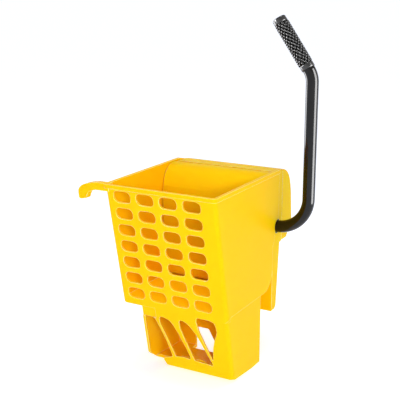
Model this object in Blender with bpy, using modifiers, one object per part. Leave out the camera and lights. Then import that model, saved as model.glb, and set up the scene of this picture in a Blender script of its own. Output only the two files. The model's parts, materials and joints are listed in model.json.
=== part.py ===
"""Side-press mop wringer: yellow moulded housing, swinging press plate and a bent tube lever.

World frame in metres: +X along the front wall towards the lever, +Y to the rear, +Z up, z = 0 on the floor.
Depths are written from the front rim line and heights from the floor, then moved by FRONT_Y.
"""
import math

import bmesh
import bpy
from mathutils import Matrix, Vector

MM = 0.001
RIM_Z = 397 * MM
FRONT_Y = -176 * MM
LEAN = math.radians(12)
WALL = 4 * MM
LIP_OUT = 2.5 * MM
LIP_HEIGHT = 8 * MM
X_LEFT = -128.5 * MM
X_RIGHT = 112.5 * MM
X_MID = (X_LEFT + X_RIGHT) / 2
RIDGE = 1.6 * MM
SKIRT_LEFT = -84.5 * MM
SKIRT_RIGHT = X_RIGHT - RIDGE
SKIRT_BACK_MM = 203
BASE_FRONT_Z = 7 * MM
BASE_FLOOR = 7 * MM
CORNER_R = 8 * MM
FLANGE_BACK_MM = 300
HOOD_CORNER = 4 * MM

HOLE_WIDE = 38.5 * MM
HOLE_HIGH = 24.5 * MM
HOLE_CORNER = 10 * MM
HOLE_COLUMNS = 4
HOLE_ROWS = 7
COLUMN_PITCH = 50.8 * MM
ROW_PITCH = 35.5 * MM
LAST_COLUMN_X = 60.9 * MM
FIRST_ROW = 24 * MM

SHAFT_Y = FRONT_Y + 278 * MM
SHAFT_Z = 276 * MM
TUBE_R = 12.7 * MM
TUBE_BORE = 10.7 * MM
TUBE_LEFT_X = -130 * MM
HANDLE_X = 179 * MM
BEND_R = 67 * MM
TOP_BEND_R = 45 * MM
TOP_BEND = math.radians(35)
TOP_BEND_Z = 578.5 * MM
GRIP_LENGTH = 117 * MM
GRIP_R = 15.2 * MM
COLLAR_R = 14.2 * MM

HINGE_Y = FRONT_Y + 216 * MM
HINGE_Z = 171 * MM
HINGE_R = 4 * MM
CRANK_R = 72 * MM
CRANK_REST = math.radians(25)
LEVER_RANGE = math.radians(70)
PLATE_RATIO = 0.5
HUB_R = 18 * MM
HEX_FLATS = 10 * MM
PLATE_BACK_MM = 216.5
COVER_SCREW_Z = (RIM_Z - 30 * MM, RIM_Z - 148 * MM)
COVER_SCREW_Y = FRONT_Y + 292 * MM
YOKE_SCREW_IN = 48
YOKE_FOOT = 3 * MM
TAB_THICK = 3.5 * MM
BUFFER_REAR_MM = 339.8
HINGE_SEAT = 2.6 * MM
TROUGH_R = 40 * MM
SLOT_DATUM = 111 * MM
# Offset from the leaning face, and millimetres below the rim.
RECESS_CORNERS = ((-5 * MM, 256), (-5 * MM, 281), (2 * MM, 281), (2 * MM, 256))
ROLLER_R = 8 * MM
GAP = 0.3 * MM

WELD = 1e-6
FIT = 1e-4
SHARP = math.radians(35)
PARTS = "side_press_wringer"
CUTTERS = "cutters"

# Colour, roughness and metallic of each material.
YELLOW = ((0.95, 0.62, 0.02), 0.35, 0.0)
GLOSS_BLACK = ((0.012, 0.012, 0.013), 0.15, 0.0)
BLACK_PLASTIC = ((0.03, 0.03, 0.03), 0.45, 0.0)
RUBBER = ((0.02, 0.02, 0.02), 0.75, 0.0)
NYLON = ((0.8, 0.8, 0.78), 0.4, 0.0)
STEEL = ((0.55, 0.56, 0.58), 0.4, 1.0)
BRIGHT_STEEL = ((0.55, 0.56, 0.58), 0.28, 1.0)


def depth(value_mm):
    return FRONT_Y + value_mm * MM


def below_rim(value_mm):
    return RIM_Z - value_mm * MM


def lean_depth(z):
    """World Y of the front wall's outer face at height z."""
    return FRONT_Y + (RIM_Z - z) * math.tan(LEAN)


def clear_scene():
    for obj in list(bpy.data.objects):
        bpy.data.objects.remove(obj, do_unlink=True)
    for name in (PARTS, CUTTERS):
        group = bpy.data.collections.new(name)
        bpy.context.scene.collection.children.link(group)
    bpy.data.collections[CUTTERS].hide_render = True


def material(name, colour, rough, metal=0.0):
    mat = bpy.data.materials.new(name)
    mat.use_nodes = True
    bsdf = mat.node_tree.nodes["Principled BSDF"]
    bsdf.inputs["Base Color"].default_value = (*colour, 1)
    bsdf.inputs["Roughness"].default_value = rough
    bsdf.inputs["Metallic"].default_value = metal
    return mat


def finish(obj, look, smooth=False):
    """Make the shape a part: its own material, and smooth shading with sharp corners on a round piece."""
    colour, rough, metal = look
    obj.data.materials.clear()
    obj.data.materials.append(material(obj.name, colour, rough, metal))
    if smooth:
        obj.data.shade_smooth()
        obj.data.set_sharp_from_angle(angle=SHARP)
    obj.display_type = "TEXTURED"
    bpy.data.collections[CUTTERS].objects.unlink(obj)
    bpy.data.collections[PARTS].objects.link(obj)
    return obj


def new_object(name, data):
    """Every shape starts as a cutter; finish() moves the ones that stay to the parts."""
    obj = bpy.data.objects.new(name, data)
    bpy.data.collections[CUTTERS].objects.link(obj)
    obj.display_type = "WIRE"
    return obj


def from_bmesh(name, bm):
    bmesh.ops.recalc_face_normals(bm, faces=bm.faces)
    mesh = bpy.data.meshes.new(name)
    bm.to_mesh(mesh)
    bm.free()
    return new_object(name, mesh)


def as_mesh(source, place):
    """The evaluated shape of a curve or a modified mesh as one welded mesh, moved to its place."""
    bpy.context.view_layer.update()
    graph = bpy.context.evaluated_depsgraph_get()
    mesh = bpy.data.meshes.new_from_object(source.evaluated_get(graph))
    name = source.name
    bpy.data.objects.remove(source, do_unlink=True)
    bm = bmesh.new()
    bm.from_mesh(mesh)
    bmesh.ops.remove_doubles(bm, verts=bm.verts, dist=WELD)
    bmesh.ops.transform(bm, matrix=place, verts=bm.verts)
    return from_bmesh(name, bm)


def outline_curve(name, outlines, thickness):
    """Flat closed outlines in the curve's own XY plane, filled and extruded both ways."""
    curve = bpy.data.curves.new(name, "CURVE")
    curve.dimensions = "2D"
    curve.fill_mode = "BOTH"
    curve.extrude = thickness / 2
    for outline in outlines:
        spline = curve.splines.new("POLY")
        spline.points.add(len(outline) - 1)
        for point, (a, b) in zip(spline.points, outline):
            point.co = (a, b, 0, 1)
        spline.use_cyclic_u = True
    return new_object(name, curve)


def prism(name, outline, low, high, axis="x"):
    """A closed outline pushed along an axis: x takes (y, z) points, y takes (x, z), z takes (x, y)."""
    turns = {
        "x": ((0, 0, 1), (1, 0, 0), (0, 1, 0)),
        "y": ((1, 0, 0), (0, 0, -1), (0, 1, 0)),
        "z": ((1, 0, 0), (0, 1, 0), (0, 0, 1)),
    }
    middle = Vector([(low + high) / 2 if axis == letter else 0 for letter in "xyz"])
    place = Matrix.Translation(middle) @ Matrix(turns[axis]).to_4x4()
    return as_mesh(outline_curve(name, [outline], high - low), place)


def box(name, low, high):
    low, high = Vector(low), Vector(high)
    bm = bmesh.new()
    size = Matrix.Diagonal((*(high - low), 1))
    bmesh.ops.create_cube(bm, size=1, matrix=Matrix.Translation((low + high) / 2) @ size)
    return from_bmesh(name, bm)


def rod(name, x0, x1, y, z, radius, sides=24):
    """A solid cylinder along X between two stations."""
    place = Matrix.Translation(((x0 + x1) / 2, y, z)) @ Matrix.Rotation(math.pi / 2, 4, "Y")
    bm = bmesh.new()
    bmesh.ops.create_cone(bm, cap_ends=True, segments=sides, radius1=radius, radius2=radius,
                          depth=abs(x1 - x0), matrix=place)
    return from_bmesh(name, bm)


def rod_y(name, x, y0, y1, z, radius, sides=12):
    """A solid cylinder along Y between two depths."""
    place = Matrix.Translation((x, (y0 + y1) / 2, z)) @ Matrix.Rotation(math.pi / 2, 4, "X")
    bm = bmesh.new()
    bmesh.ops.create_cone(bm, cap_ends=True, segments=sides, radius1=radius, radius2=radius,
                          depth=abs(y1 - y0), matrix=place)
    return from_bmesh(name, bm)


def arc(centre, radius, start, end, steps):
    """Points on a circle, angles in degrees from the first axis."""
    points = []
    for i in range(steps + 1):
        angle = math.radians(start + (end - start) * i / steps)
        points.append((centre[0] + radius * math.cos(angle), centre[1] + radius * math.sin(angle)))
    return points


def rounded_rect(centre, wide, high, radius, steps=4):
    a, b = wide / 2 - radius, high / 2 - radius
    points = []
    for sx, sy, start in ((1, 1, 0), (-1, 1, 90), (-1, -1, 180), (1, -1, 270)):
        points += arc((centre[0] + sx * a, centre[1] + sy * b), radius, start, start + 90, steps)
    return points


def flowing(path, steps=3):
    """More points between the given ones, on a smooth curve through all of them."""
    points = []
    last = len(path) - 1
    for i in range(last):
        p0, p1, p2, p3 = (Vector(path[min(max(k, 0), last)]) for k in (i - 1, i, i + 1, i + 2))
        for step in range(steps):
            t = step / steps
            bend = 2 * p0 - 5 * p1 + 4 * p2 - p3
            twist = -p0 + 3 * p1 - 3 * p2 + p3
            points.append(tuple((2 * p1 + (p2 - p0) * t + bend * t ** 2 + twist * t ** 3) / 2))
    return points + [tuple(path[-1])]


def side_points(path_mm):
    """World (y, z) points from (depth, height below the rim) pairs in millimetres."""
    return [(depth(y), below_rim(z)) for y, z in path_mm]


def end_face(side):
    """X of the outer face of the left (-1) or right (1) end wall."""
    return X_RIGHT if side > 0 else X_LEFT


def span(a, b):
    return min(a, b), max(a, b)


def bar(name, path, radius, sides):
    """A round bar along a list of points: a curve with a bevel and filled ends."""
    curve = bpy.data.curves.new(name, "CURVE")
    curve.dimensions = "3D"
    curve.bevel_depth = radius
    curve.bevel_resolution = sides // 2 - 2
    curve.use_fill_caps = True
    spline = curve.splines.new("POLY")
    spline.points.add(len(path) - 1)
    for point, place in zip(spline.points, path):
        point.co = (*place, 1)
    return as_mesh(new_object(name, curve), Matrix.Identity(4))


def turn(name, profile, base, direction, sides=24):
    """Turn (distance along, radius) points about an axis with a Screw modifier.

    A profile that starts on the axis is an open line; one that doesn't is a closed ring section.
    """
    bm = bmesh.new()
    verts = [bm.verts.new((radius, 0, distance)) for distance, radius in profile]
    for first, second in zip(verts, verts[1:]):
        bm.edges.new((first, second))
    if profile[0][1]:
        bm.edges.new((verts[-1], verts[0]))
    mesh = bpy.data.meshes.new(name)
    bm.to_mesh(mesh)
    bm.free()
    obj = new_object(name, mesh)
    screw = obj.modifiers.new("turn", "SCREW")
    screw.steps = screw.render_steps = sides
    screw.use_merge_vertices = True
    screw.merge_threshold = WELD
    way = Vector((0, 0, 1)).rotation_difference(Vector(direction)).to_matrix().to_4x4()
    return as_mesh(obj, Matrix.Translation(base) @ way)


def combine(obj, other, operation):
    """Boolean the other shape into obj, keep the result as obj's own mesh and drop the other."""
    step = obj.modifiers.new("step", "BOOLEAN")
    step.operation = operation
    step.solver = "EXACT"
    step.object = other
    bpy.context.view_layer.update()
    graph = bpy.context.evaluated_depsgraph_get()
    mesh = bpy.data.meshes.new_from_object(obj.evaluated_get(graph))
    obj.modifiers.remove(step)
    obj.data = mesh
    bpy.data.objects.remove(other, do_unlink=True)
    return obj


def cut(obj, other):
    return combine(obj, other, "DIFFERENCE")


def join(obj, other):
    return combine(obj, other, "UNION")


def bevel_edges(obj, radius, wanted, segments=4):
    """Round the sharp edges whose two ends pass the test."""
    bm = bmesh.new()
    bm.from_mesh(obj.data)
    edges = []
    for edge in bm.edges:
        a, b = (v.co for v in edge.verts)
        if edge.calc_face_angle(0) > SHARP and wanted(a, b):
            edges.append(edge)
    bmesh.ops.bevel(bm, geom=edges, offset=radius, segments=segments, affect="EDGES", profile=0.5)
    bm.to_mesh(obj.data)
    bm.free()
    return obj


def on_front(point):
    return abs(point.y - lean_depth(point.z)) < FIT


def round_front_corners(obj, radius):
    """Round the long front corner edges of the chamber block."""
    def wanted(a, b):
        return abs(a.z - b.z) > 0.2 and abs(a.x - b.x) < FIT and on_front(a) and on_front(b)
    return bevel_edges(obj, radius, wanted)


def round_skirt_corner(obj):
    """Round the base's front corner on the lever side."""
    edge_x = SKIRT_RIGHT - FIT

    def wanted(a, b):
        return abs(a.z - b.z) > 0.1 and min(a.x, b.x) > edge_x and on_front(a) and on_front(b)
    return bevel_edges(obj, CORNER_R, wanted)


def chamber_outside():
    """Side outline of the chamber with the trough at its foot, the rear apron and the flange."""
    foot = below_rim(259)
    trough = arc((depth(214), below_rim(210)), TROUGH_R, 270, 360, 9)
    outline = [(lean_depth(RIM_Z), RIM_Z), (lean_depth(foot), foot), (depth(63), foot)]
    outline.append((depth(66), below_rim(250)))
    outline += trough
    outline += side_points([(254, 303), (273, 303), (279, 297), (291, 160), (FLANGE_BACK_MM, 158)])
    outline += side_points([(FLANGE_BACK_MM, 4.5), (283, 0.5)])
    outline.append((depth(280), RIM_Z))
    return outline


def chamber_inside():
    """The same outline moved in by the wall, open at the top and at the rear above the apron."""
    top = RIM_Z + 2 * MM
    floor = below_rim(246)
    inset = WALL / math.cos(LEAN)
    trough = arc((depth(214), below_rim(210)), TROUGH_R - WALL, 270, 360, 9)
    outline = [(lean_depth(top) + inset, top), (lean_depth(floor) + inset, floor)]
    outline += trough
    outline += side_points([(282.5, 206), (287, 160.5), (302, 160.5)])
    outline.append((depth(302), top))
    return outline


def chamber_shell():
    shell = prism("housing", chamber_outside(), X_LEFT, X_RIGHT)
    round_front_corners(shell, CORNER_R)
    inner_left, inner_right = X_LEFT + WALL, X_RIGHT - WALL
    hollow = prism("hollow", chamber_inside(), inner_left, inner_right)
    round_front_corners(hollow, CORNER_R - WALL)
    cut(shell, hollow)
    # Open space behind the rear apron, between its two end flanges.
    pocket = side_points([(258, 304), (290, 304), (290, 214), (258, 214)])
    cut(shell, prism("pocket", pocket, inner_left, inner_right))
    return shell


def rim_lip():
    """Raised band round the top of the front and end walls."""
    y_back = depth(281)
    outer = prism(
        "lip",
        rounded_corner_plan(X_LEFT - LIP_OUT, X_RIGHT + LIP_OUT, FRONT_Y - LIP_OUT, y_back, CORNER_R),
        RIM_Z - LIP_HEIGHT,
        RIM_Z,
        "z",
    )
    inner = prism(
        "lip_inner",
        rounded_corner_plan(
            X_LEFT + WALL - 0.5 * MM,
            X_RIGHT - WALL + 0.5 * MM,
            FRONT_Y + WALL - 0.3 * MM,
            depth(290),
            CORNER_R - WALL,
        ),
        RIM_Z - 20 * MM,
        RIM_Z + 5 * MM,
        "z",
    )
    return cut(outer, inner)


def rounded_corner_plan(x0, x1, y0, y1, radius):
    points = arc((x0 + radius, y0 + radius), radius, 180, 270, 4)
    points += arc((x1 - radius, y0 + radius), radius, 270, 360, 4)
    return points + [(x1, y1), (x0, y1)]


def skirt():
    """Open base under the chamber: side walls, rear frame, floor and the slanted front ribs."""
    top, rear = below_rim(248), depth(SKIRT_BACK_MM)
    outline = [(lean_depth(top), top), (lean_depth(BASE_FRONT_Z), BASE_FRONT_Z)]
    outline += [(depth(165), 0.0), (rear, 0.0), (rear, top)]
    base = prism("skirt", outline, SKIRT_LEFT, SKIRT_RIGHT)
    round_skirt_corner(base)
    roof = below_rim(252)
    front_floor = BASE_FRONT_Z + BASE_FLOOR
    inset = WALL / math.cos(LEAN)
    inside = [(lean_depth(roof) + inset, roof), (lean_depth(front_floor) + inset, front_floor)]
    inside += [(depth(165), BASE_FLOOR), (rear - WALL, BASE_FLOOR), (rear - WALL, roof)]
    cut(base, prism("skirt_hollow", inside, SKIRT_LEFT + WALL, SKIRT_RIGHT - WALL))
    cut_front_slots(base)
    cut_leg_slant(base)
    cut_rear_window(base)
    cut_floor_slots(base)
    return base


def front_slot(name, corners):
    """Cutter for one front opening, from (x, depth below the rim) in millimetres.

    The x values count from the rim's right end.
    """
    points = [(SLOT_DATUM + x * MM, below_rim(z)) for x, z in corners]
    return prism(name, points, FRONT_Y - 10 * MM, depth(110), "y")


def cut_front_slots(base):
    slots = {
        "slot_a": [(-190.5, 281), (-170, 281), (-166.5, 283), (-160, 296), (-146, 330), (-137, 362)]
        + [(-137, 366.5), (-151, 371), (-161, 376), (-152, 391), (-152, 400), (-190.5, 400)],
        "slot_b": [(-153, 276), (-145, 276), (-134, 280), (-127, 287), (-118, 302), (-102, 336)]
        + [(-93, 360), (-96, 363), (-112, 361.5), (-129, 364), (-134, 350), (-144, 322)]
        + [(-156, 292), (-157, 281)],
        "slot_c": [(-108, 275), (-101, 275), (-92, 279), (-84, 287), (-74, 300), (-56, 337)]
        + [(-47, 355), (-43, 362), (-43, 366), (-84, 363.5), (-89, 352), (-100, 322)]
        + [(-110, 294), (-111, 280)],
        "slot_d": [(-68, 261), (-40, 261), (-31, 264), (-27.5, 271), (-26, 285), (-29, 294), (-33, 303)]
        + [(-38, 322), (-40, 338), (-41, 352), (-43.5, 352), (-58, 316), (-67, 292), (-71, 270)],
    }
    for name, corners in slots.items():
        cut(base, front_slot(name, corners))
    # Shallow recess in the front wall, under the chamber's overhang.
    recess = [(lean_depth(below_rim(z)) + y, below_rim(z)) for y, z in RECESS_CORNERS]
    cut(base, prism("recess", recess, SKIRT_LEFT - 2 * MM, SKIRT_LEFT + 32 * MM))


def cut_leg_slant(base):
    """The left side wall's lower edge rises towards the front."""
    slant = side_points([(60, 363), (73, 363), (84, 373.5), (100, 384.5), (118, 397.5), (60, 397.5)])
    cut(base, prism("leg_slant", slant, SKIRT_LEFT - 5 * MM, SKIRT_LEFT + 36.5 * MM))


def cut_rear_window(base):
    """Opening through the rear panel and the floor's rear edge, with one slanted side."""
    left = -149.5
    corners = [(left, 347.5), (left, 399), (-93, 399), (-106, 371), (-118, 349.5), (-121.5, 347.5)]
    outline = [(SLOT_DATUM + x * MM, below_rim(z)) for x, z in corners]
    cut(base, prism("rear_window", outline, depth(182), depth(SKIRT_BACK_MM + 5), "y"))


def cut_floor_slots(base):
    """Round-ended drain slots through the base's floor, just behind the front bar."""
    for i in range(4):
        centre = (SKIRT_LEFT + (62 + 36 * i) * MM, depth(118))
        outline = rounded_rect(centre, 26 * MM, 24 * MM, 9 * MM)
        cut(base, prism("drain", outline, -2 * MM, 20 * MM, "z"))


def hook():
    """Flat arm and turned-down lip that hangs on the bucket's rim."""
    upper = [(-147, 0), (-166, 3), (-181, 8), (-188.5, 14), (-191.7, 21), (-190.5, 35)]
    lower = [(-186, 37), (-173, 34), (-171, 28), (-168, 22), (-160, 17), (-150, 15)]
    outline = [(-120, 0), *flowing(upper), *lower, (-120, 15)]
    points = [(x * MM, below_rim(z)) for x, z in outline]
    return prism("hook", points, depth(1.5), depth(15.5), "y")


def perforations():
    """One cutter for every hole in the front wall, square to the leaning face."""
    holes = []
    for row in range(HOLE_ROWS):
        for column in range(HOLE_COLUMNS):
            centre = (LAST_COLUMN_X - COLUMN_PITCH * column, -(FIRST_ROW + ROW_PITCH * row))
            holes.append(rounded_rect(centre, HOLE_WIDE, HOLE_HIGH, HOLE_CORNER, 5))
    wall_plane = Matrix.Translation((0, FRONT_Y, RIM_Z)) @ Matrix.Rotation(math.pi / 2 + LEAN, 4, "X")
    return as_mesh(outline_curve("perforations", holes, 20 * MM), wall_plane)


def housing():
    body = chamber_shell()
    join(body, rim_lip())
    join(body, skirt())
    join(body, hook())
    cut(body, perforations())
    for side in (-1, 1):
        cut_end_wall(body, side)
    cut_hinge_holes(body)
    for z in COVER_SCREW_Z:
        hole = rod("screw_hole", X_LEFT - 5 * MM, X_LEFT + 20 * MM, COVER_SCREW_Y, z, 2.3 * MM, 12)
        cut(body, hole)
    return finish(body, YELLOW)


def cut_end_wall(body, side):
    """Shaft hole, and the rear flange set back so that the chamber's end stands proud of it."""
    face = end_face(side)
    outside = face + side * 10 * MM
    cut(body, rod("shaft_hole", face - side * 30 * MM, outside, SHAFT_Y, SHAFT_Z, 15.3 * MM, 32))
    low, high = span(face - side * RIDGE, outside)
    set_back = box("flange_step", (low, depth(255), below_rim(310)), (high, depth(305), below_rim(157.5)))
    cut(body, set_back)
    edge = side_points([(280, -1), (281, 106), (266, 131), (257, 158), (305, 158), (305, -1)])
    cut(body, prism("upper_step", edge, low, high))


def cut_hinge_holes(body):
    """Through the left wall, and a blind seat in the right one."""
    radius = HINGE_R + GAP
    left, seat = X_LEFT + WALL / 2, X_RIGHT - WALL + HINGE_SEAT
    cut(body, rod("hinge_hole", left - 10 * MM, left + 20 * MM, HINGE_Y, HINGE_Z, radius, 16))
    cut(body, rod("hinge_seat", seat - 20 * MM, seat, HINGE_Y, HINGE_Z, radius, 16))


def hood_curve(front_mm, points):
    """Hood profile from its front edge, over the top, down the back and forward again."""
    curve = flowing(points, 2)
    return side_points([(front_mm, points[0][1] - 1.5), *curve, (front_mm, points[-1][1])])


def rear_cover():
    """Hood behind the shaft, with tabs that tuck inside the end walls."""
    outside = [(313, 6), (324, 10.5), (333.5, 18.5), (340, 28.5), (345.5, 43), (350, 66), (352.5, 90)]
    outside += [(354.5, 119), (352, 128), (334, 152), (327, 158)]
    front = FLANGE_BACK_MM + 0.5
    cover = prism("rear_cover", hood_curve(front, outside), X_LEFT + RIDGE, X_RIGHT - RIDGE)
    round_hood_sides(cover, HOOD_CORNER)
    inside = [(312, 9.8), (320.8, 14), (328.7, 21), (334.8, 30.5), (340, 44), (344.5, 67), (347, 90)]
    inside += [(350.3, 118.5), (348.5, 126), (331, 149.5), (325.5, 154)]
    cut(cover, prism("cover_hollow", hood_curve(front - 1.5, inside), X_LEFT + WALL, X_RIGHT - WALL))
    join(cover, top_lip())
    for side in (-1, 1):
        for z in COVER_SCREW_Z:
            join(cover, hood_tab(side, z))
    for z in COVER_SCREW_Z:
        hole_end = X_LEFT + WALL + TAB_THICK + 5 * MM
        cut(cover, rod("tab_hole", X_LEFT + 1 * MM, hole_end, COVER_SCREW_Y, z, 1.6 * MM, 12))
    return finish(cover, YELLOW)


def hood_tab(side, z):
    """Tab that runs forward from the hood's side wall, just inside the end wall."""
    root = end_face(side) - side * WALL / 2
    outer = end_face(side) - side * (WALL + GAP)
    inner = outer - side * TAB_THICK
    plan = [(outer, depth(285)), (outer, depth(302)), (root, depth(302)), (root, depth(308))]
    plan += [(inner, depth(308)), (inner, depth(285))]
    return prism("tab", plan, z - 8 * MM, z + 8 * MM, "z")


def round_hood_sides(cover, radius):
    """Round the hood's two long side edges."""
    front = depth(FLANGE_BACK_MM + 0.5)

    def wanted(a, b):
        same_side = abs(a.x - b.x) < FIT
        return same_side and max(a.y, b.y) > front + FIT
    return bevel_edges(cover, radius, wanted, 3)


def top_lip():
    """Flat lip that runs forward between the end walls and closes the top down to the plate's roll."""
    points = side_points([(271.5, 4), (301.5, 4.6), (303, 8.6), (301.5, 8.8), (271.5, 7.5)])
    clear = WALL + 0.5 * MM
    return prism("top_lip", points, X_LEFT + clear, X_RIGHT - clear)


def cover_screws():
    """Pan-head screws through the left wall into the cover's tabs."""
    head, shank = 2.6 * MM, 1.4 * MM
    length = head + WALL - RIDGE + 2 * GAP + 7 * MM
    profile = [(0, 0), (0, 2.6 * MM), (1.2 * MM, 4.1 * MM), (head, 4.5 * MM), (head, shank)]
    profile += [(length, shank), (length + 1.5 * MM, 0)]
    for z, tag in zip(COVER_SCREW_Z, ("upper", "lower")):
        start = (X_LEFT + RIDGE - GAP - head, COVER_SCREW_Y, z)
        screw = turn("cover_screw_" + tag, profile, start, (1, 0, 0), 12)
        finish(screw, BRIGHT_STEEL, True)


def lever_path():
    """Centreline of the bent tube from its left end to inside the grip."""
    points = [Vector((TUBE_LEFT_X, SHAFT_Y, SHAFT_Z)), Vector((X_MID, SHAFT_Y, SHAFT_Z))]
    low_centre = (HANDLE_X - BEND_R, SHAFT_Z + BEND_R)
    points += [Vector((x, SHAFT_Y, z)) for x, z in arc(low_centre, BEND_R, -90, 0, 9)]
    top_centre = (HANDLE_X - TOP_BEND_R, TOP_BEND_Z)
    bend = arc(top_centre, TOP_BEND_R, 0, math.degrees(TOP_BEND), 5)
    points += [Vector((x, SHAFT_Y, z)) for x, z in bend]
    return points


def grip_frame():
    """Start of the straight under the grip, and its direction."""
    direction = Vector((-math.sin(TOP_BEND), 0, math.cos(TOP_BEND)))
    return lever_path()[-1], direction


def handle_tube():
    points = lever_path()
    last, direction = grip_frame()
    end = GRIP_LENGTH - 4.6 * MM
    past = 5 * MM
    points.append(last + direction * (2 * MM))
    tube = bar("handle_tube", [*points, last + direction * end], TUBE_R, 20)
    points[0] = points[0] - Vector((past, 0, 0))
    cut(tube, bar("tube_bore", [*points, last + direction * (end + past)], TUBE_BORE, 20))
    for side in (-1, 1):
        cut(tube, bolt_hole(side))
    return finish(tube, GLOSS_BLACK, True)


def bolt_hole(side):
    reach = 30 * MM
    return rod_y("bolt_hole", bolt_x(side), SHAFT_Y - reach, SHAFT_Y + reach, SHAFT_Z, 3.2 * MM)


def handle_grip():
    """Sleeve with a plain collar at each end of its studded middle, closed at the tip and bored blind."""
    last, direction = grip_frame()
    base = last + direction * (1 * MM)
    length = GRIP_LENGTH
    outside = [(0, 0), (0, COLLAR_R - 0.6 * MM), (0.8 * MM, COLLAR_R), (10 * MM, COLLAR_R)]
    outside += [(11 * MM, GRIP_R), (length - 13 * MM, GRIP_R), (length - 12 * MM, COLLAR_R)]
    outside += [(length - 2 * MM, COLLAR_R), (length, COLLAR_R - 2.5 * MM), (length + 0.6 * MM, 0)]
    grip = turn("handle_grip", outside, base, direction, 20)
    inner, bottom = TUBE_R + GAP, length - 5 * MM
    bore = [(-5 * MM, 0), (-5 * MM, inner), (bottom, inner), (bottom, 0)]
    cut(grip, turn("grip_bore", bore, base, direction, 20))
    return finish(grip, RUBBER, True)


def tube_end_plug():
    head = 4 * MM
    start = (TUBE_LEFT_X - GAP - head, SHAFT_Y, SHAFT_Z)
    profile = [(0, 0), (0.8 * MM, 10 * MM), (2.6 * MM, 14.2 * MM), (head, 14.6 * MM), (head, 10.4 * MM)]
    profile += [(16 * MM, 10 * MM), (16 * MM, 0)]
    return finish(turn("tube_end_plug", profile, start, (1, 0, 0), 20), BLACK_PLASTIC, True)


def shaft_bush(side, name):
    """Flanged bush: its sleeve fills the wall's hole and its flange bears on the inner face."""
    bore, sleeve, flange = TUBE_R + 0.2 * MM, 15 * MM, 19 * MM
    recess, thick = 2 * MM, 2 * MM
    inside = WALL + GAP - recess
    profile = [(0, bore), (0, sleeve), (inside, sleeve), (inside, flange)]
    profile += [(inside + thick, flange), (inside + thick, bore)]
    start = (end_face(side) - side * recess, SHAFT_Y, SHAFT_Z)
    return finish(turn(name, profile, start, (-side, 0, 0), 24), BLACK_PLASTIC, True)


def station(side, offset_mm):
    """X of a plane at a distance inboard of the end wall's inner face, the same at both ends."""
    return end_face(side) - side * (WALL + offset_mm * MM)


def bolt_x(side):
    return station(side, 44)


def rest_pin():
    """(y, z) of the rollers' pins with the lever at rest."""
    return SHAFT_Y + CRANK_R * math.sin(CRANK_REST), SHAFT_Z + CRANK_R * math.cos(CRANK_REST)


def crank(side, name):
    """Arm plate with a clamping hub round the tube."""
    pin_y, pin_z = rest_pin()
    big, small = 19 * MM, 11 * MM
    tilt = math.degrees(math.atan2(pin_z - SHAFT_Z, pin_y - SHAFT_Y))
    spread = math.degrees(math.acos((big - small) / CRANK_R))
    outline = arc((SHAFT_Y, SHAFT_Z), big, tilt + spread, tilt + 360 - spread, 18)
    outline += arc((pin_y, pin_z), small, tilt - spread, tilt + spread, 10)
    low, high = span(station(side, 26), station(side, 32))
    arm = prism(name, outline, low, high)
    hub_start, hub_end = station(side, 31), station(side, 52)
    join(arm, rod("hub", hub_start, hub_end, SHAFT_Y, SHAFT_Z, HUB_R, 28))
    outer, inner = station(side, 20), station(side, 60)
    cut(arm, rod("hub_bore", outer, inner, SHAFT_Y, SHAFT_Z, TUBE_R + 0.2 * MM, 28))
    cut(arm, rod("pin_hole", outer, station(side, 40), pin_y, pin_z, 4.2 * MM, 12))
    cut(arm, bolt_hole(side))
    return finish(arm, STEEL)


def hexagon(name, x, y, thick):
    """Hexagonal head or nut standing off in +Y from a depth."""
    radius = HEX_FLATS / 2 / math.cos(math.radians(30))
    return rod_y(name, x, y, y + thick, SHAFT_Z, radius, 6)


def crank_bolt(side, name):
    x = bolt_x(side)
    head_y = SHAFT_Y - HUB_R - GAP
    bolt = hexagon(name, x, head_y - 4 * MM, 4 * MM)
    join(bolt, rod_y("shank", x, head_y - 1 * MM, head_y + 47 * MM, SHAFT_Z, 2.9 * MM))
    return finish(bolt, BRIGHT_STEEL)


def crank_nut(side, name):
    x = bolt_x(side)
    face = SHAFT_Y + HUB_R + GAP
    nut = hexagon(name, x, face, 5 * MM)
    cut(nut, rod_y("nut_bore", x, face - 5 * MM, face + 12 * MM, SHAFT_Z, 3.1 * MM))
    return finish(nut, BRIGHT_STEEL)


def roller_pin(side, name):
    head, shank, length = 2 * MM, 3.9 * MM, 19 * MM
    clip = length - 1.8 * MM
    profile = [(0, 0), (0, 6 * MM), (head, 6 * MM), (head, shank), (clip, shank), (clip, 6.5 * MM)]
    profile += [(length, 6 * MM), (length, 0)]
    pin_y, pin_z = rest_pin()
    start = (station(side, 26) + side * (GAP + head), pin_y, pin_z)
    return finish(turn(name, profile, start, (-side, 0, 0), 12), BRIGHT_STEEL, True)


def roller(side, name):
    bore, width = 4.2 * MM, 8 * MM
    profile = [(0, bore), (0, ROLLER_R), (width, ROLLER_R), (width, bore)]
    wheel = turn(name, profile, (station(side, 32.4), *rest_pin()), (-side, 0, 0), 16)
    return finish(wheel, NYLON, True)


def turned(point, angle, pivot):
    """A (y, z) point after the top leans forward by angle about a pivot."""
    y, z = point[0] - pivot[0], point[1] - pivot[1]
    c, s = math.cos(angle), math.sin(angle)
    return pivot[0] + y * c - z * s, pivot[1] + y * s + z * c


def slot_path(steps, over=0.0):
    """Roller centres as the plate sees them while the lever and the plate swing together."""
    points = []
    for i in range(steps + 1):
        share = -over + (1 + 2 * over) * i / steps
        lever = LEVER_RANGE * share
        pin = turned(rest_pin(), lever, (SHAFT_Y, SHAFT_Z))
        points.append(turned(pin, -lever * PLATE_RATIO, (HINGE_Y, HINGE_Z)))
    return points


def left_normal(path, i):
    """Unit (y, z) direction to the left of a path at one of its points."""
    ahead = path[min(i + 1, len(path) - 1)]
    behind = path[max(i - 1, 0)]
    dy, dz = ahead[0] - behind[0], ahead[1] - behind[1]
    size = math.hypot(dy, dz)
    return -dz / size, dy / size


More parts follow.
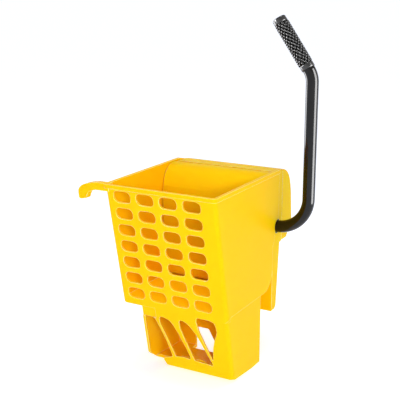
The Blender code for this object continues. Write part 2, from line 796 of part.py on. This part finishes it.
def offset_path(path, distance):
    """The path moved to its left by a distance."""
    moved = []
    for i, (y, z) in enumerate(path):
        ny, nz = left_normal(path, i)
        moved.append((y + ny * distance, z + nz * distance))
    return moved


def thick_outline(path, half):
    """Outline of a band of constant half width round a path, with round ends."""
    ends = []
    for index, near in ((0, 1), (-1, -2)):
        dy, dz = path[index][0] - path[near][0], path[index][1] - path[near][1]
        angle = math.degrees(math.atan2(dz, dy))
        ends.append(arc(path[index], half, angle - 90, angle + 90, 8)[1:-1])
    left, right = offset_path(path, half), offset_path(path, -half)
    return left + ends[1][::-1] + right[::-1] + ends[0][::-1]


def yoke(side, name):
    """Slotted steel bracket standing off the back of the press plate."""
    low, high = span(station(side, 33.6), station(side, 38.6))
    path = slot_path(10)
    top_y, top_z = path[0]
    body = prism(name, thick_outline(path, ROLLER_R + 6 * MM), low, high)
    back = depth(PLATE_BACK_MM) + GAP
    web = [(back, top_z + 2 * MM), (back, top_z - 46 * MM), (back + 16 * MM, top_z - 43 * MM)]
    web += [(SHAFT_Y - 12 * MM, SHAFT_Z + 26 * MM), (path[-1][0], path[-1][1] - 6 * MM)]
    web += [(top_y - 2 * MM, top_z + 12 * MM), (SHAFT_Y, top_z + 12 * MM)]
    join(body, prism("web", web, low, high))
    foot_low, foot_high = span(station(side, 33.6), station(side, 56))
    foot_bottom, foot_top = top_z - 46 * MM, top_z + 2 * MM
    join(body, box("foot", (foot_low, back, foot_bottom), (foot_high, back + YOKE_FOOT, foot_top)))
    slot = thick_outline(slot_path(12, 0.02), ROLLER_R + GAP)
    cut(body, prism("slot", slot, low - 5 * MM, high + 5 * MM))
    for z in yoke_screw_heights():
        hole_x = station(side, YOKE_SCREW_IN)
        cut(body, rod_y("hole", hole_x, back - 8 * MM, back + 12 * MM, z, 2.4 * MM))
    return finish(body, STEEL)


def yoke_screw_heights():
    top = slot_path(1)[0][1]
    return top - 10 * MM, top - 34 * MM


def yoke_screw(side, z, name):
    head = 3 * MM
    under = depth(PLATE_BACK_MM) + YOKE_FOOT + 2 * GAP
    profile = [(0, 0), (0.4 * MM, 3 * MM), (2.4 * MM, 4.4 * MM), (head, 4.4 * MM), (head, 2 * MM)]
    profile += [(13 * MM, 2 * MM), (14 * MM, 0)]
    start = (station(side, YOKE_SCREW_IN), under + head, z)
    return finish(turn(name, profile, start, (0, -1, 0), 12), BRIGHT_STEEL, True)


def press_plate():
    """Plate with a rolled-back top, ribs, bracket pads and a hinge barrel at its foot."""
    low, high = X_LEFT + WALL + 2 * MM, X_RIGHT - WALL - 2 * MM
    roll = [(203.5, 60), (207, 38), (213, 23), (222, 12), (234, 5), (248, 2.5), (260, 3.5), (266, 9)]
    path = side_points([(206, 238), *flowing(roll)])
    plate = prism("press_plate", path + offset_path(path, -WALL)[::-1], low, high)
    for x in rib_positions():
        join(plate, prism("rib", rib_outline(), x - 1.75 * MM, x + 1.75 * MM))
    for side in (-1, 1):
        add_bracket_pad(plate, side)
    web = side_points([(204, 234), (204, 212), (212, 212)])
    web += [(HINGE_Y, HINGE_Z), (HINGE_Y - 2 * MM, HINGE_Z - 8 * MM)]
    join(plate, prism("foot_web", web, low, high))
    join(plate, rod("barrel", low, high, HINGE_Y, HINGE_Z, 9 * MM, 24))
    past = 5 * MM
    cut(plate, rod("hinge_bore", low - past, high + past, HINGE_Y, HINGE_Z, HINGE_R + GAP, 16))
    return finish(plate, YELLOW)


def rib_outline():
    back = PLATE_BACK_MM
    points = [(207, 232), (205.5, 60), (212, 34), (228, 12), (238, 8), (240, 14), (226, 40)]
    return side_points([*points, (back, 56), (back, 232)])


def add_bracket_pad(plate, side):
    """Thick pad behind the plate for one yoke, with the pilot holes of its two screws."""
    top_z = slot_path(1)[0][1]
    back = depth(PLATE_BACK_MM)
    low, high = span(station(side, 31), station(side, 58))
    join(plate, box("pad", (low, depth(206), top_z - 50 * MM), (high, back, top_z + 6 * MM)))
    for z in yoke_screw_heights():
        x = station(side, YOKE_SCREW_IN)
        cut(plate, rod_y("pilot", x, back - 10.5 * MM, back + 19.5 * MM, z, 2.3 * MM))


def rib_positions():
    return [X_MID + (-88 + 44 * i) * MM for i in range(5)]


def hinge_rod():
    right = X_RIGHT - WALL + HINGE_SEAT - GAP
    pin = rod("hinge_rod", X_LEFT - 4 * MM, right, HINGE_Y, HINGE_Z, HINGE_R, 16)
    return finish(pin, BRIGHT_STEEL, True)


def hinge_cap():
    """Push-on cap over the rod's end, outside the left wall."""
    inner = HINGE_R + 0.2 * MM
    start = (X_LEFT - GAP, HINGE_Y, HINGE_Z)
    outside = [(0, 0), (0, 7.5 * MM), (3.2 * MM, 7.5 * MM), (4.9 * MM, 6 * MM), (5.3 * MM, 0)]
    cap = turn("hinge_cap", outside, start, (-1, 0, 0), 20)
    bore = [(-2 * MM, 0), (-2 * MM, inner), (3.9 * MM, inner), (3.9 * MM, 0)]
    cut(cap, turn("cap_bore", bore, start, (-1, 0, 0), 16))
    return finish(cap, STEEL, True)


def return_spring(side, name):
    """Torsion spring round the tube: one leg on the rear wall, the other on the crank's edge."""
    wire, radius, turns = 1.25 * MM, 16 * MM, 5
    start_x, end_x = station(side, 5), station(side, 24.4)
    pin_y, pin_z = rest_pin()
    crank_angle = math.atan2(pin_z - SHAFT_Z, pin_y - SHAFT_Y)
    leg_angle = crank_angle + math.asin(17.2 / 36)
    first = math.radians(-60)
    sweep = 2 * math.pi * turns + (leg_angle - first)
    steps = 12 * turns
    coil = []
    for i in range(steps + 1):
        share = i / steps
        coil.append((start_x + (end_x - start_x) * share, first + sweep * share, radius))
    last = first + sweep
    points = [(start_x, first, 21.5 * MM), (start_x, first, 17.5 * MM), *coil]
    points += [(end_x, last, 22 * MM), (end_x, last, 36 * MM)]
    path = [Vector((x, SHAFT_Y + r * math.cos(a), SHAFT_Z + r * math.sin(a))) for x, a, r in points]
    tip = path[-1]
    path.append(tip - Vector((side * 2 * MM, 0, 0)))
    path.append(tip - Vector((side * 8 * MM, 0, 0)))
    return finish(bar(name, path, wire, 6), BRIGHT_STEEL, True)


def stop_buffer(side, name):
    """Rubber buffer on the cover's rear wall, behind the crank's tip at rest."""
    pin_y, pin_z = rest_pin()
    front = pin_y + 11 * MM + GAP
    length = depth(BUFFER_REAR_MM) - front
    centre = (station(side, 27.5), front, pin_z + 2 * MM)
    profile = [(0, 0), (0, 4.5 * MM), (1 * MM, 5.2 * MM), (length, 5.2 * MM), (length, 0)]
    return finish(turn(name, profile, centre, (0, 1, 0), 14), RUBBER, True)


def hang_on(pivot_name, place, pieces):
    """Put an empty on a joint's axis and parent the pieces that move with it, without moving them."""
    pivot = bpy.data.objects.new(pivot_name, None)
    pivot.empty_display_size = 20 * MM
    pivot.location = place
    bpy.data.collections[PARTS].objects.link(pivot)
    for piece in pieces:
        piece.parent = pivot
        piece.matrix_parent_inverse = Matrix.Translation(-Vector(place))


def lever_side(side, tag):
    """Crank, its clamp bolt and nut, and the roller's pin at one end of the lever."""
    return [
        crank(side, "crank_" + tag),
        crank_bolt(side, "crank_bolt_" + tag),
        crank_nut(side, "crank_nut_" + tag),
        roller_pin(side, "roller_pin_" + tag),
    ]


def plate_side(side, tag):
    """Yoke and its two screws at one end of the press plate."""
    upper, lower = yoke_screw_heights()
    return [
        yoke(side, "yoke_" + tag),
        yoke_screw(side, upper, "yoke_screw_upper_" + tag),
        yoke_screw(side, lower, "yoke_screw_lower_" + tag),
    ]


def build():
    clear_scene()
    housing()
    rear_cover()
    cover_screws()
    hinge_rod()
    hinge_cap()
    lever = [handle_tube(), handle_grip(), tube_end_plug()]
    plate = [press_plate()]
    for side, tag in ((-1, "left"), (1, "right")):
        shaft_bush(side, "shaft_bush_" + tag)
        return_spring(side, "return_spring_" + tag)
        stop_buffer(side, "stop_buffer_" + tag)
        lever += lever_side(side, tag)
        plate += plate_side(side, tag)
        wheel = roller(side, "roller_" + tag)
        hang_on(f"roller_{tag}_axis", (station(side, 36.4), *rest_pin()), [wheel])
    hang_on("lever_axis", (X_MID, SHAFT_Y, SHAFT_Z), lever)
    hang_on("plate_axis", (X_MID, HINGE_Y, HINGE_Z), plate)


build()
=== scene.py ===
"""Looks for the side-press mop wringer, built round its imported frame."""
import json
import math

import bmesh
import bpy
from mathutils import Matrix, Vector


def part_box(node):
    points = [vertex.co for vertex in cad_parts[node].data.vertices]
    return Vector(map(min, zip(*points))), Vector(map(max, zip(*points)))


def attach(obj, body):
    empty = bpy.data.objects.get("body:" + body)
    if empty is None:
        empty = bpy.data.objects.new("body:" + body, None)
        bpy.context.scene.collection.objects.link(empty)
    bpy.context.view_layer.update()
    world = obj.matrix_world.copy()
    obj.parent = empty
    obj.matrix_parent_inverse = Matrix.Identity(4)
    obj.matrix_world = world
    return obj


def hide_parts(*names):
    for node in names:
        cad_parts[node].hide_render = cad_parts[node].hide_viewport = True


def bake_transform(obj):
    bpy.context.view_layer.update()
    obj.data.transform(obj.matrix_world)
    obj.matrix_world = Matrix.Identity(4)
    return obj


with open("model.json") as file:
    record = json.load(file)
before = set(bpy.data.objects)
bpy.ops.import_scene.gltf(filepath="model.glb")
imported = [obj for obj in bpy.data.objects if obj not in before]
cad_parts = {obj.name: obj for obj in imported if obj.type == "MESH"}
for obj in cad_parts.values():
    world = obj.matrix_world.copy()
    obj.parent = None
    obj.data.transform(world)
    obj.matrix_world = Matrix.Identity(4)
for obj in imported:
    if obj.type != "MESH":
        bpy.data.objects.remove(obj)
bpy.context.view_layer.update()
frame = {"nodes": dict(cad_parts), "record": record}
nodes = frame["nodes"]
joints = {joint["name"]: joint for joint in frame["record"]["behaviour"]["joints"]}

SHAFT = Vector(joints["lever_swing"]["pos_m"])
TUBE_R = 0.0127
BEND_R = 0.067
TOP_BEND_R = 0.045
TOP_BEND = math.radians(35)
TOP_BEND_Z = 0.5785
TUBE_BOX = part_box("handle_tube")
HANDLE_X = TUBE_BOX[1][0] - TUBE_R
GRIP_LENGTH = 0.117
SLEEVE_R = 0.0129
COLLAR_R = 0.0142
STUD_HEIGHT = 0.0022
SIDES = ("left", "right")


# ---------------------------------------------------------------- materials

class Look:
    """A Principled material with a few helpers for its procedural detail."""

    def __init__(self, name, colour, rough, metal=0.0, specular=0.5):
        self.mat = bpy.data.materials.new(name)
        self.mat.use_nodes = True
        self.tree = self.mat.node_tree
        self.bsdf = self.tree.nodes["Principled BSDF"]
        self.set("Base Color", (*colour, 1))
        self.set("Roughness", rough)
        self.set("Metallic", metal)
        self.set("Specular IOR Level", specular)
        self.coords = self.tree.nodes.new("ShaderNodeTexCoord").outputs["Object"]
        self.height = None

    def set(self, socket, value):
        self.bsdf.inputs[socket].default_value = value

    def link(self, a, b):
        self.tree.links.new(a, b)

    def noise(self, scale, detail=3.0, rough=0.5, stretch=(1, 1, 1)):
        mapping = self.tree.nodes.new("ShaderNodeMapping")
        mapping.inputs["Scale"].default_value = stretch
        self.link(self.coords, mapping.inputs["Vector"])
        node = self.tree.nodes.new("ShaderNodeTexNoise")
        node.inputs["Scale"].default_value = scale
        node.inputs["Detail"].default_value = detail
        node.inputs["Roughness"].default_value = rough
        self.link(mapping.outputs["Vector"], node.inputs["Vector"])
        return node.outputs["Fac"]

    def ramp(self, fac, stops):
        node = self.tree.nodes.new("ShaderNodeValToRGB")
        elements = node.color_ramp.elements
        while len(elements) < len(stops):
            elements.new(0.5)
        for element, (place, colour) in zip(elements, stops):
            element.position = place
            element.color = (*colour, 1)
        self.link(fac, node.inputs["Fac"])
        return node.outputs["Color"]

    def remap(self, fac, low, high, from_low=0.3, from_high=0.7):
        node = self.tree.nodes.new("ShaderNodeMapRange")
        node.inputs["From Min"].default_value = from_low
        node.inputs["From Max"].default_value = from_high
        node.inputs["To Min"].default_value = low
        node.inputs["To Max"].default_value = high
        self.link(fac, node.inputs["Value"])
        return node.outputs["Result"]

    def blend(self, fac, a, b):
        node = self.tree.nodes.new("ShaderNodeMix")
        node.data_type = "RGBA"
        self.link(fac, node.inputs["Factor"])
        self.link(a, node.inputs[6])
        self.link(b, node.inputs[7])
        return node.outputs[2]

    def rounded_edges(self, radius):
        """Rounded shading normal, and a mask that rises to one on the edges themselves, where a painted
        highlight goes.
        """
        bevel = self.tree.nodes.new("ShaderNodeBevel")
        bevel.samples = 6
        bevel.inputs["Radius"].default_value = radius
        geometry = self.tree.nodes.new("ShaderNodeNewGeometry")
        dot = self.tree.nodes.new("ShaderNodeVectorMath")
        dot.operation = "DOT_PRODUCT"
        self.link(bevel.outputs["Normal"], dot.inputs[0])
        self.link(geometry.outputs["True Normal"], dot.inputs[1])
        self.height = bevel.outputs["Normal"]
        return self.remap(dot.outputs["Value"], 0.0, 1.0, 0.96, 0.8)

    def bump(self, height, strength, distance):
        node = self.tree.nodes.new("ShaderNodeBump")
        node.inputs["Strength"].default_value = strength
        node.inputs["Distance"].default_value = distance
        self.link(height, node.inputs["Height"])
        if self.height:
            self.link(self.height, node.inputs["Normal"])
        self.height = node.outputs["Normal"]
        self.link(self.height, self.bsdf.inputs["Normal"])

    def colour(self, output):
        self.link(output, self.bsdf.inputs["Base Color"])

    def rough(self, output):
        self.link(output, self.bsdf.inputs["Roughness"])


def yellow_plastic():
    """Injection-moulded polypropylene: very slow mottling, a fine grain, and a painted highlight in paler
    colour along the rounded edges.
    """
    look = Look("yellow_plastic", (0.95, 0.52, 0.002), 0.4, specular=0.03)
    body_stops = [(0.3, (0.94, 0.513, 0.0015)), (0.7, (0.955, 0.527, 0.0025))]
    body = look.ramp(look.noise(9, 4, 0.6), body_stops)
    # The paler colour on the edges is a painted highlight, blended in by the edge mask.
    edge_highlight = look.ramp(look.noise(45, 4), [(0.36, (0.97, 0.8, 0.26)), (0.58, (0.99, 0.9, 0.5))])
    look.colour(look.blend(look.rounded_edges(0.0017), body, edge_highlight))
    look.rough(look.remap(look.noise(35, 4, 0.6), 0.32, 0.44))
    look.bump(look.noise(1500, 2), 0.1, 0.0002)
    look.set("Subsurface Weight", 0.6)
    look.set("Subsurface Radius", (1.0, 0.4, 0.02))
    look.set("Subsurface Scale", 0.01)
    return look.mat


def black_tube():
    """Gloss powder coat over steel tube, with a slight orange peel."""
    look = Look("black_tube", (0.003, 0.0028, 0.0026), 0.1, specular=0.34)
    tint_stops = [(0.3, (0.002, 0.0019, 0.0018)), (0.7, (0.004, 0.0038, 0.0035))]
    look.colour(look.ramp(look.noise(30, 3), tint_stops))
    look.rough(look.remap(look.noise(70, 3), 0.08, 0.14))
    look.bump(look.noise(420, 2), 0.05, 0.0001)
    return look.mat


def grip_rubber():
    """Black rubber: shinier on the studs and collars, darker and duller between them, where the darker
    colour is painted shade.
    """
    look = Look("grip_rubber", (0.01, 0.01, 0.01), 0.3)
    relief = look.tree.nodes.new("ShaderNodeAttribute")
    relief.attribute_name = "relief"
    pit_shade_fac = look.remap(relief.outputs["Fac"], 0.0, 1.0, 0.3, 0.95)
    # The pit colour, far darker than the tops, is painted shade between the studs.
    pit_stops = [(0.3, (0.0008, 0.0008, 0.0008)), (0.7, (0.002, 0.002, 0.002))]
    top_stops = [(0.3, (0.008, 0.0078, 0.0076)), (0.7, (0.014, 0.0137, 0.0134))]
    pit = look.ramp(look.noise(220, 3), pit_stops)
    top = look.ramp(look.noise(400, 2), top_stops)
    look.colour(look.blend(pit_shade_fac, pit, top))
    look.rough(look.remap(look.noise(300, 3), 0.16, 0.26))
    look.link(look.remap(pit_shade_fac, 0.02, 0.75, 0.0, 1.0), look.bsdf.inputs["Specular IOR Level"])
    look.bump(look.noise(2200, 2), 0.08, 0.0002)
    return look.mat


def black_plastic():
    """Satin black plastic of the bushes and the end plug."""
    look = Look("black_plastic", (0.03, 0.03, 0.03), 0.4)
    look.colour(look.ramp(look.noise(60, 3), [(0.3, (0.022, 0.022, 0.022)), (0.7, (0.04, 0.04, 0.039))]))
    look.rough(look.remap(look.noise(90, 3), 0.32, 0.5))
    look.bump(look.noise(1200, 2), 0.15, 0.0002)
    return look.mat


def zinc_steel():
    """Zinc-plated steel: drawn grain along X, patchy brightness, dull spots."""
    look = Look("zinc_steel", (0.66, 0.67, 0.66), 0.32, 1.0)
    patches = look.ramp(look.noise(45, 5, 0.6), [(0.3, (0.52, 0.54, 0.55)), (0.7, (0.74, 0.74, 0.71))])
    look.colour(patches)
    look.rough(look.remap(look.noise(110, 4, 0.6), 0.22, 0.45))
    look.bump(look.noise(500, 2, stretch=(0.08, 1, 1)), 0.1, 0.0003)
    look.set("Anisotropic", 0.35)
    return look.mat


def spring_steel():
    """Bright plated wire."""
    look = Look("spring_steel", (0.6, 0.6, 0.61), 0.2, 1.0)
    look.colour(look.ramp(look.noise(150, 3), [(0.3, (0.5, 0.5, 0.52)), (0.7, (0.7, 0.7, 0.69))]))
    look.rough(look.remap(look.noise(200, 3), 0.14, 0.3))
    return look.mat


def roller_nylon():
    """Natural nylon with a little light spreading under its surface."""
    look = Look("roller_nylon", (0.8, 0.79, 0.74), 0.35)
    look.colour(look.ramp(look.noise(80, 3), [(0.3, (0.74, 0.72, 0.66)), (0.7, (0.84, 0.83, 0.79))]))
    look.rough(look.remap(look.noise(120, 3), 0.28, 0.45))
    look.set("Subsurface Weight", 0.1)
    look.set("Subsurface Scale", 0.002)
    return look.mat


def buffer_rubber():
    """Matt black rubber."""
    look = Look("buffer_rubber", (0.022, 0.022, 0.023), 0.75)
    look.colour(look.ramp(look.noise(200, 3), [(0.3, (0.016, 0.016, 0.017)), (0.7, (0.03, 0.03, 0.031))]))
    look.bump(look.noise(1500, 3), 0.3, 0.0003)
    return look.mat


def floor_paint():
    """Plain pale studio floor, slightly lit so that it stays clean white close to the object."""
    look = Look("floor", (0.87, 0.89, 0.95), 0.8, specular=0.0)
    tint = look.ramp(look.noise(3, 3), [(0.3, (0.865, 0.885, 0.945)), (0.7, (0.875, 0.895, 0.955))])
    look.colour(tint)
    look.set("Emission Color", (0.9, 0.94, 1.05, 1))
    look.set("Emission Strength", 0.62)
    return look.mat


MATERIALS = {
    "yellow_plastic": yellow_plastic(),
    "black_tube": black_tube(),
    "grip_rubber": grip_rubber(),
    "black_plastic": black_plastic(),
    "zinc_steel": zinc_steel(),
    "spring_steel": spring_steel(),
    "roller_nylon": roller_nylon(),
    "buffer_rubber": buffer_rubber(),
}
SLOTS = {row["node"]: row["material_slot"] for row in frame["record"]["subparts"]}


def wear(obj, slot):
    """Give an object the one material of its slot."""
    obj.data.materials.clear()
    obj.data.materials.append(MATERIALS[slot])
    return obj


# ---------------------------------------------------------------- CAD nodes that stay

def soften(obj, width, segments=2, dissolve=2.0):
    """Merge the triangulation into flat faces and round the edges."""
    weld = obj.modifiers.new("weld", "WELD")
    weld.merge_threshold = 1e-6
    flat = obj.modifiers.new("flat", "DECIMATE")
    flat.decimate_type = "DISSOLVE"
    flat.angle_limit = math.radians(dissolve)
    bevel = obj.modifiers.new("bevel", "BEVEL")
    bevel.width = width
    bevel.segments = segments
    bevel.limit_method = "ANGLE"
    bevel.angle_limit = math.radians(35)
    bevel.harden_normals = True


def dress_nodes():
    """Materials for every CAD node; the housing's edges are rounded by its material instead."""
    for name, obj in nodes.items():
        wear(obj, SLOTS[name])
        if name != "housing":
            soften(obj, 0.0009 if name in ("rear_cover", "press_plate") else 0.0003)


# ---------------------------------------------------------------- pieces that replace CAD nodes

def curve_bar(name, path, radius, resolution):
    """Round bar with closed ends along a list of points."""
    curve = bpy.data.curves.new(name, "CURVE")
    curve.dimensions = "3D"
    curve.bevel_depth = radius
    curve.bevel_resolution = resolution
    curve.use_fill_caps = True
    spline = curve.splines.new("POLY")
    spline.points.add(len(path) - 1)
    for point, place in zip(spline.points, path):
        point.co = (*place, 1)
    spline.use_smooth = True
    obj = bpy.data.objects.new(name, curve)
    bpy.context.scene.collection.objects.link(obj)
    return obj


def mesh_piece(name, bm, smooth=True):
    """Turn a bmesh into an object with outward faces."""
    bmesh.ops.recalc_face_normals(bm, faces=bm.faces)
    mesh = bpy.data.meshes.new(name)
    bm.to_mesh(mesh)
    bm.free()
    if smooth:
        mesh.shade_smooth()
    obj = bpy.data.objects.new(name, mesh)
    bpy.context.scene.collection.objects.link(obj)
    return obj


def circle_points(centre, radius, start, end, steps):
    """Points on an arc in the upright plane through the shaft; the centre is (x, z)."""
    points = []
    for i in range(steps + 1):
        angle = start + (end - start) * i / steps
        x = centre[0] + radius * math.cos(angle)
        z = centre[1] + radius * math.sin(angle)
        points.append(Vector((x, SHAFT.y, z)))
    return points


def tube_bends():
    """Centreline of the tube from its left end to the straight under the grip."""
    points = [Vector((TUBE_BOX[0][0], SHAFT.y, SHAFT.z))]
    points += circle_points((HANDLE_X - BEND_R, SHAFT.z + BEND_R), BEND_R, -math.pi / 2, 0, 40)
    points += circle_points((HANDLE_X - TOP_BEND_R, TOP_BEND_Z), TOP_BEND_R, 0, TOP_BEND, 24)
    return points


GRIP_WAY = Vector((-math.sin(TOP_BEND), 0, math.cos(TOP_BEND)))
GRIP_BASE = tube_bends()[-1] + GRIP_WAY * 0.001


def lever_tube():
    """The bent tube, with its end hidden inside the grip."""
    path = tube_bends()
    path.append(path[-1] + GRIP_WAY * (GRIP_LENGTH - 0.006))
    tube = wear(curve_bar("lever_tube", path, TUBE_R, 14), "black_tube")
    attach(tube, "lever")
    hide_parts("handle_tube")
    return tube


STUD_ROWS = 19
STUD_COLUMNS = 12
STUD_FROM = 0.0115
STUD_TO = 0.1045
STUD_WIDE = 0.68  # half width, as a share of half the pitch round the sleeve
STUD_TALL = 0.8  # half height, as a share of a row
STUD_OUTLINE = 1.7  # 1 is a diamond, 2 an oval
STUD_DOME = 1.8
STUD_STEPS = 190
AROUND = 144


def stud_height(angle, along):
    """Share of the full height, 0 to 1, that the staggered studs have at a point of the grip."""
    if not STUD_FROM < along < STUD_TO:
        return 0.0
    row = (along - STUD_FROM) / (STUD_TO - STUD_FROM) * STUD_ROWS
    best = 0.0
    for k in (math.floor(row) - 1, math.floor(row), math.floor(row) + 1):
        if not 0 <= k < STUD_ROWS:
            continue
        shift = 0.5 * (k % 2)
        column = angle / (2 * math.pi) * STUD_COLUMNS - shift
        across = abs(column - round(column)) * 2
        up = abs(row - (k + 0.5))
        reach = (across / STUD_WIDE) ** STUD_OUTLINE + (up / STUD_TALL) ** STUD_OUTLINE
        if reach < 1:
            best = max(best, 1 - reach ** STUD_DOME)
    return best


def grip_profile():
    """(distance, radius) stations of the sleeve from its lower lip to its domed tip."""
    length = GRIP_LENGTH
    rows = [(0.0, SLEEVE_R), (0.0001, 0.0134), (0.0008, 0.0141), (0.0016, COLLAR_R), (0.0095, COLLAR_R)]
    rows += [(0.0102, 0.0141), (0.0108, 0.0132)]
    for i in range(STUD_STEPS + 1):
        rows.append((STUD_FROM + (STUD_TO - STUD_FROM) * i / STUD_STEPS, SLEEVE_R))
    rows += [(0.1052, 0.0132), (0.1058, 0.0141), (0.1066, COLLAR_R), (length - 0.0035, COLLAR_R)]
    rows += [(length - 0.0022, 0.0140), (length - 0.0012, 0.0134), (length - 0.0004, 0.0122)]
    rows += [(length, 0.0105), (length + 0.0003, 0.007), (length + 0.0004, 0.003)]
    return rows


def studded_grip():
    """Rubber sleeve whose "relief" attribute tells the material where the studs and collars are, so that
    it paints shade between them.
    """
    turn = Vector((0, 0, 1)).rotation_difference(GRIP_WAY).to_matrix().to_4x4()
    place = Matrix.Translation(GRIP_BASE) @ turn
    bm = bmesh.new()
    relief = bm.verts.layers.float.new("relief")
    rings = []
    for along, radius in grip_profile():
        ring = []
        for i in range(AROUND):
            angle = 2 * math.pi * i / AROUND
            height = stud_height(angle, along)
            r = radius + STUD_HEIGHT * height
            vert = bm.verts.new(place @ Vector((r * math.cos(angle), r * math.sin(angle), along)))
            vert[relief] = max(height, (radius - SLEEVE_R) / (COLLAR_R - SLEEVE_R))
            ring.append(vert)
        rings.append(ring)
    for low, high in zip(rings, rings[1:]):
        for i in range(AROUND):
            j = (i + 1) % AROUND
            bm.faces.new((low[i], low[j], high[j], high[i]))
    bm.faces.new(rings[0][::-1])
    bm.faces.new(rings[-1])
    grip = wear(mesh_piece("studded_grip", bm), "grip_rubber")
    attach(grip, "lever")
    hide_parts("handle_grip")
    return grip


def coil_spring(side):
    """Torsion spring round the tube: one leg on the rear wall, the other on the crank's edge.

    On the wringer the wall end stays and the crank end turns with the lever; this coil is built in its
    rest shape only.

    Each station is (x, angle about the shaft, distance from the shaft).
    """
    node = "return_spring_" + side
    low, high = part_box(node)
    sign = 1 if side == "right" else -1
    wire, radius, turns = 0.00125, 0.016, 5
    wall_leg, crank_leg = (0.0215, 0.0178), (0.019, 0.0355)
    beside_crank, leg_reach = 0.0172, 0.036
    hook_steps = (0.0018, 0.0058)
    outer = high[0] - wire if sign > 0 else low[0] + wire
    tip = low[0] if sign > 0 else high[0]
    coil_end = tip + sign * 0.008
    first = math.radians(-60)
    pin = Vector(joints[f"roller_{side}_spin"]["pos_m"])
    leg = math.atan2(pin.z - SHAFT.z, pin.y - SHAFT.y) + math.asin(beside_crank / leg_reach)
    sweep = 2 * math.pi * turns + leg - first
    steps = 48 * turns
    stations = [(outer, first, distance) for distance in wall_leg]
    for i in range(steps + 1):
        share = i / steps
        stations.append((outer + (coil_end - outer) * share, first + sweep * share, radius))
    last = first + sweep
    stations += [(coil_end, last, distance) for distance in crank_leg]
    path = []
    for x, angle, r in stations:
        path.append(Vector((x, SHAFT.y + r * math.cos(angle), SHAFT.z + r * math.sin(angle))))
    for step in hook_steps:
        path.append(path[-1] - Vector((sign * step, 0, 0)))
    spring = curve_bar("spring_" + side, path, wire, 4)
    bpy.context.view_layer.update()
    graph = bpy.context.evaluated_depsgraph_get()
    mesh = bpy.data.meshes.new_from_object(spring.evaluated_get(graph))
    bpy.data.objects.remove(spring, do_unlink=True)
    mesh.shade_smooth()
    coil = bpy.data.objects.new("coil_" + side, mesh)
    bpy.context.scene.collection.objects.link(coil)
    wear(coil, "spring_steel")
    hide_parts(node)
    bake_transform(coil)


# ---------------------------------------------------------------- studio

def area_light(name, place, target, size, power, pieces=()):
    """Soft rectangular lamp; with pieces given, it lights only those."""
    lamp = bpy.data.lights.new(name, "AREA")
    lamp.shape = "RECTANGLE"
    lamp.size, lamp.size_y = size
    lamp.energy = power
    obj = bpy.data.objects.new(name, lamp)
    bpy.context.scene.collection.objects.link(obj)
    obj.location = place
    obj.rotation_euler = (Vector(target) - Vector(place)).to_track_quat("-Z", "Y").to_euler()
    obj.visible_camera = False
    if pieces:
        lit = bpy.data.collections.new(name + "_lit")
        for piece in pieces:
            lit.objects.link(piece)
        obj.light_linking.receiver_collection = lit


def studio_world():
    """White surroundings at eye level, dimmer overhead."""
    world = bpy.data.worlds.new("studio")
    bpy.context.scene.world = world
    world.use_nodes = True
    tree = world.node_tree
    direction = tree.nodes.new("ShaderNodeTexCoord")
    split = tree.nodes.new("ShaderNodeSeparateXYZ")
    level = tree.nodes.new("ShaderNodeMapRange")
    for socket, value in (("From Min", 0.3), ("From Max", 0.45), ("To Min", 1.0), ("To Max", 0.42)):
        level.inputs[socket].default_value = value
    tree.links.new(direction.outputs["Generated"], split.inputs["Vector"])
    tree.links.new(split.outputs["Z"], level.inputs["Value"])
    tree.links.new(level.outputs["Result"], tree.nodes["Background"].inputs["Strength"])
    tree.nodes["Background"].inputs["Color"].default_value = (1, 1, 1, 1)


def studio(lever):
    """Floor, surroundings and lamps; the lever is (tube, grip)."""
    bm = bmesh.new()
    bmesh.ops.create_grid(bm, x_segments=1, y_segments=1, size=60)
    floor = mesh_piece("floor", bm, False)
    floor.location.z = -0.0005
    floor.data.materials.append(floor_paint())
    studio_world()
    area_light("top", (0.1, 0.0, 2.2), (0, -0.05, 0.2), (0.6, 0.6), 14)
    # The front fill reaches through the holes, two tall boxes draw the streaks on the tube, and the
    # grip's own lamp picks out its studs.
    mouldings = [nodes[name] for name in ("housing", "rear_cover", "press_plate")]
    area_light("front_fill", (0.98, -1.38, 0.8), (0, 0, 0.2), (0.3, 0.3), 15.5, mouldings)
    area_light("lever_right", (0.98, 0.156, 0.6), (0.179, 0.1, 0.6), (0.55, 1.2), 34, lever)
    area_light("lever_left", (-0.72, 0.12, 0.65), (0.179, 0.1, 0.65), (0.4, 1.0), 11, lever)
    area_light("grip_key", (-0.62, -0.42, 0.72), (0.15, 0.02, 0.66), (0.3, 0.3), 18, lever[1:])
    bpy.context.scene.view_settings.view_transform = "Standard"


def camera():
    """The photo's view: from the front right and slightly above."""
    pitch, heading = math.radians(14.61), math.radians(29.19)
    data = bpy.data.cameras.new("camera")
    data.lens = 78.25
    data.sensor_width = 36
    obj = bpy.data.objects.new("camera", data)
    bpy.context.scene.collection.objects.link(obj)
    obj.location = (0.820, -1.4977, 0.7862)
    obj.rotation_euler = (math.pi / 2 - pitch, 0, heading)
    bpy.context.scene.camera = obj


dress_nodes()
lever = (lever_tube(), studded_grip())
for side in SIDES:
    coil_spring(side)
studio(lever)
camera()
